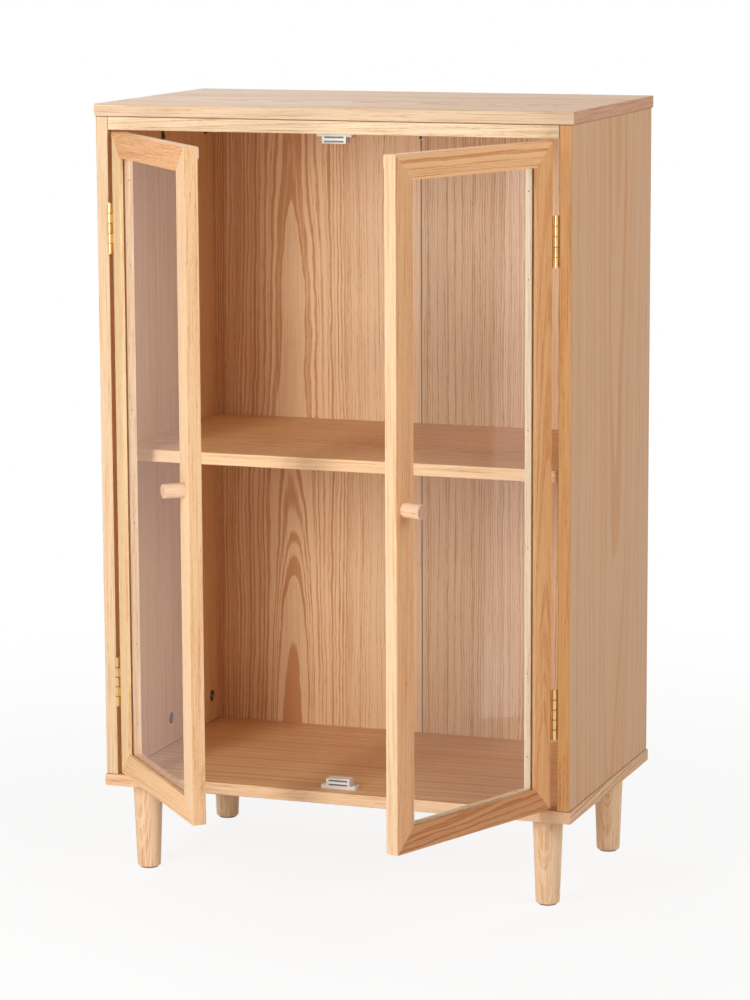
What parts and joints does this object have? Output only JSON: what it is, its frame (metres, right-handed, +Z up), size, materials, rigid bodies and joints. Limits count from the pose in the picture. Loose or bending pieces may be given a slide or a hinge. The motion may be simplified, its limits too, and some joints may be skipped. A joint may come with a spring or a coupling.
{
  "type": "glass-front cabinet",
  "caption": "Oak display cabinet with mitred glass doors on brass butt hinges, an inner shelf, magnetic catches and tapered turned legs.",
  "frame": {"origin": "middle of the cabinet's footprint, on the floor", "axes": "+X to the right as seen from the front, +Y to the back, +Z up; the doors face -Y"},
  "size_m": [0.6, 0.6046, 0.95],
  "materials": {
    "oak_panel": "satin lacquered oak veneer on board",
    "oak_back_board": "satin printed oak on thin board",
    "oak_leg": "satin lacquered solid oak",
    "oak_frame": "satin lacquered solid oak",
    "knob_wood": "satin turned hardwood",
    "glass": "clear polished sheet glass",
    "brass": "polished brass",
    "dowel_wood": "plain beech",
    "zinc_steel": "zinc plated steel",
    "nickel_steel": "nickel plated steel",
    "white_plastic": "moulded white plastic",
    "ferrite": "sintered magnet",
    "dark_plastic": "moulded dark plastic"
  },
  "bodies": {
    "carcass": {"back_board_left": "oak_back_board", "back_board_right": "oak_back_board", "back_seam_clip": "white_plastic", "bottom_panel": "oak_panel", "cam_bolts": "zinc_steel", "cam_locks": "zinc_steel", "catch_screws": "zinc_steel", "foot_glides": "dark_plastic", "frame_hinge_screws": "brass", "front_left_leg": "oak_leg", "front_right_leg": "oak_leg", "left_hinge_pins": "brass", "left_lower_hinge_frame_leaf": "brass", "left_side_panel": "oak_panel", "left_upper_hinge_frame_leaf": "brass", "leg_hanger_bolts": "zinc_steel", "lower_catch_housing": "white_plastic", "lower_catch_magnet": "ferrite", "lower_catch_pole_plates": "nickel_steel", "panel_dowels": "dowel_wood", "rear_left_leg": "oak_leg", "rear_right_leg": "oak_leg", "right_hinge_pins": "brass", "right_lower_hinge_frame_leaf": "brass", "right_side_panel": "oak_panel", "right_upper_hinge_frame_leaf": "brass", "shelf": "oak_panel", "top_front_rail": "oak_panel", "top_panel": "oak_panel", "upper_catch_housing": "white_plastic", "upper_catch_magnet": "ferrite", "upper_catch_pole_plates": "nickel_steel"},
    "left_door": {"left_door_bottom_rail": "oak_frame", "left_door_glass": "glass", "left_door_glazing_beads": "oak_frame", "left_door_hinge_screws": "brass", "left_door_hinge_stile": "oak_frame", "left_door_knob": "knob_wood", "left_door_knob_screw": "zinc_steel", "left_door_lower_hinge_leaf": "brass", "left_door_meeting_stile": "oak_frame", "left_door_strike_plates": "nickel_steel", "left_door_strike_screws": "nickel_steel", "left_door_top_rail": "oak_frame", "left_door_upper_hinge_leaf": "brass"},
    "right_door": {"right_door_bottom_rail": "oak_frame", "right_door_glass": "glass", "right_door_glazing_beads": "oak_frame", "right_door_hinge_screws": "brass", "right_door_hinge_stile": "oak_frame", "right_door_knob": "knob_wood", "right_door_knob_screw": "zinc_steel", "right_door_lower_hinge_leaf": "brass", "right_door_meeting_stile": "oak_frame", "right_door_strike_plates": "nickel_steel", "right_door_strike_screws": "nickel_steel", "right_door_top_rail": "oak_frame", "right_door_upper_hinge_leaf": "brass"}
  },
  "joints": [
    {"name": "left_door_hinge", "type": "hinge", "parent": "carcass", "child": "left_door", "pos_m": [-0.28025, -0.17275, 0.52245], "axis": [0, 0, -1], "range_deg": [-49, 121]},
    {"name": "right_door_hinge", "type": "hinge", "parent": "carcass", "child": "right_door", "pos_m": [0.28025, -0.17275, 0.52245], "axis": [0, 0, 1], "range_deg": [-68.5, 101.5]}
  ]
}
